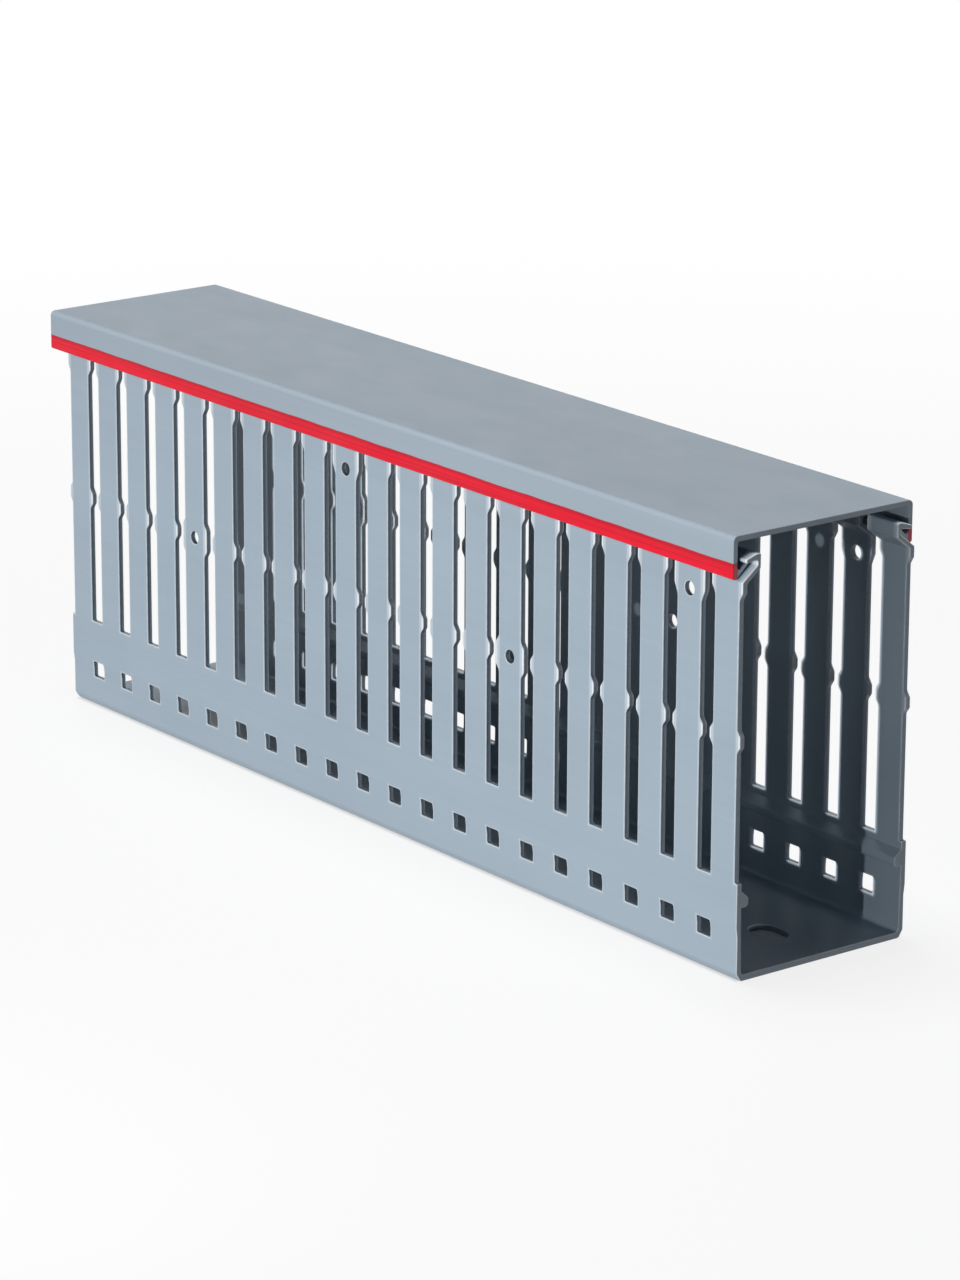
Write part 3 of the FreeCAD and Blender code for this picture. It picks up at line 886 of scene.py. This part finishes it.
def studio_backdrop():
    """Backdrop: white to the eye and in gloss, and a faint blue as stray light."""
    world = bpy.data.worlds.new("Studio backdrop")
    world.use_nodes = True
    tree = world.node_tree
    tree.nodes.clear()
    stray = node(tree, "ShaderNodeBackground", linear("#8FB4DC"), STRAY_LIGHT)
    white = node(tree, "ShaderNodeBackground", WHITE, 1.0)
    both = node(tree, "ShaderNodeMixShader", seen_ray(tree), stray, white)
    node(tree, "ShaderNodeOutputWorld", both)
    return world


def soft_lamp(name, place, size, power):
    """A square softbox that looks at the middle of the duct."""
    data = bpy.data.lights.new(name, "AREA")
    data.shape = "SQUARE"
    data.size = size
    data.energy = power
    lamp = bpy.data.objects.new(name, data)
    lamp.location = place
    away = Vector(place) - LAMPS_LOOK_AT
    lamp.rotation_euler = away.to_track_quat("Z", "Y").to_euler()
    lamp.visible_camera = False
    # A softbox lights the matt part alone, so that gloss shows the white studio and no hard square
    lamp.visible_glossy = False
    bpy.context.scene.collection.objects.link(lamp)


class WIREDUCT_OT_stage(bpy.types.Operator):
    """Build the floor, the lamps, the backdrop and the camera"""

    bl_idname = "wireduct.stage"
    bl_label = "Studio"

    def execute(self, context):
        studio = context.scene.wire_duct_studio
        data = bpy.data.meshes.new("Studio floor")
        corners = [(x * FLOOR_REACH, y * FLOOR_REACH, 0) for x, y in ((-1, -1), (1, -1), (1, 1), (-1, 1))]
        data.from_pydata(corners, [], [(0, 1, 2, 3)])
        data.materials.append(studio_floor())
        floor = bpy.data.objects.new("Studio floor", data)
        context.scene.collection.objects.link(floor)
        # Level light from the front and the back runs through the slots of both walls, so the inside stays
        # dark. From one slot to the side it runs through the next pair, and reaches the last finger inside
        for power, (name, place, size) in SOFTBOXES.items():
            soft_lamp(name, place, size, getattr(studio, power))
        context.scene.world = studio_backdrop()
        context.scene.view_settings.view_transform = "Standard"

        view = bpy.data.cameras.new("Photo camera")
        view.lens = studio.lens
        view.clip_end = CAMERA_REACH
        camera = bpy.data.objects.new("Photo camera", view)
        turn = (Matrix.Rotation(studio.azimuth, 4, "Z")
                @ Matrix.Rotation(math.pi / 2 - studio.elevation, 4, "X")
                @ Matrix.Rotation(studio.roll, 4, "Z"))
        camera.matrix_world = Matrix.Translation(CAMERA_PLACE) @ turn
        context.scene.collection.objects.link(camera)
        context.scene.camera = camera
        return {"FINISHED"}


class WIREDUCT_PT_panel(bpy.types.Panel):
    """Sizes, colours and studio of the wire duct"""

    bl_idname = "WIREDUCT_PT_panel"
    bl_label = "Wire duct"
    bl_space_type = "VIEW_3D"
    bl_region_type = "UI"
    bl_category = "Wire duct"

    def draw(self, context):
        for title, (name, kind) in GROUPS.items():
            values = getattr(context.scene, name)
            box = self.layout.box()
            box.label(text=title)
            for value in kind.__annotations__:
                box.prop(values, value)
        for operator in OPERATORS:
            self.layout.operator(operator.bl_idname)


GROUPS = {
    "Sizes": ("wire_duct_sizes", WireDuctSizes),
    "Finish": ("wire_duct_finish", WireDuctFinish),
    "Studio": ("wire_duct_studio", WireDuctStudio),
}
OPERATORS = (WIREDUCT_OT_duct, WIREDUCT_OT_cover, WIREDUCT_OT_stage)
CLASSES = (*[kind for name, kind in GROUPS.values()], *OPERATORS, WIREDUCT_PT_panel)


def register():
    """Registers the classes and hangs the property groups on the scene."""
    for kind in CLASSES:
        bpy.utils.register_class(kind)
    for name, kind in GROUPS.values():
        setattr(bpy.types.Scene, name, bpy.props.PointerProperty(type=kind))


def unregister():
    """Takes the property groups and classes away again."""
    for name, kind in GROUPS.values():
        delattr(bpy.types.Scene, name)
    for kind in reversed(CLASSES):
        bpy.utils.unregister_class(kind)


def main():
    """Builds the pieces and the studio."""
    register()
    bpy.ops.wireduct.duct()
    bpy.ops.wireduct.cover()
    bpy.ops.wireduct.stage()
    bpy.context.view_layer.update()


if __name__ == "__main__":
    main()
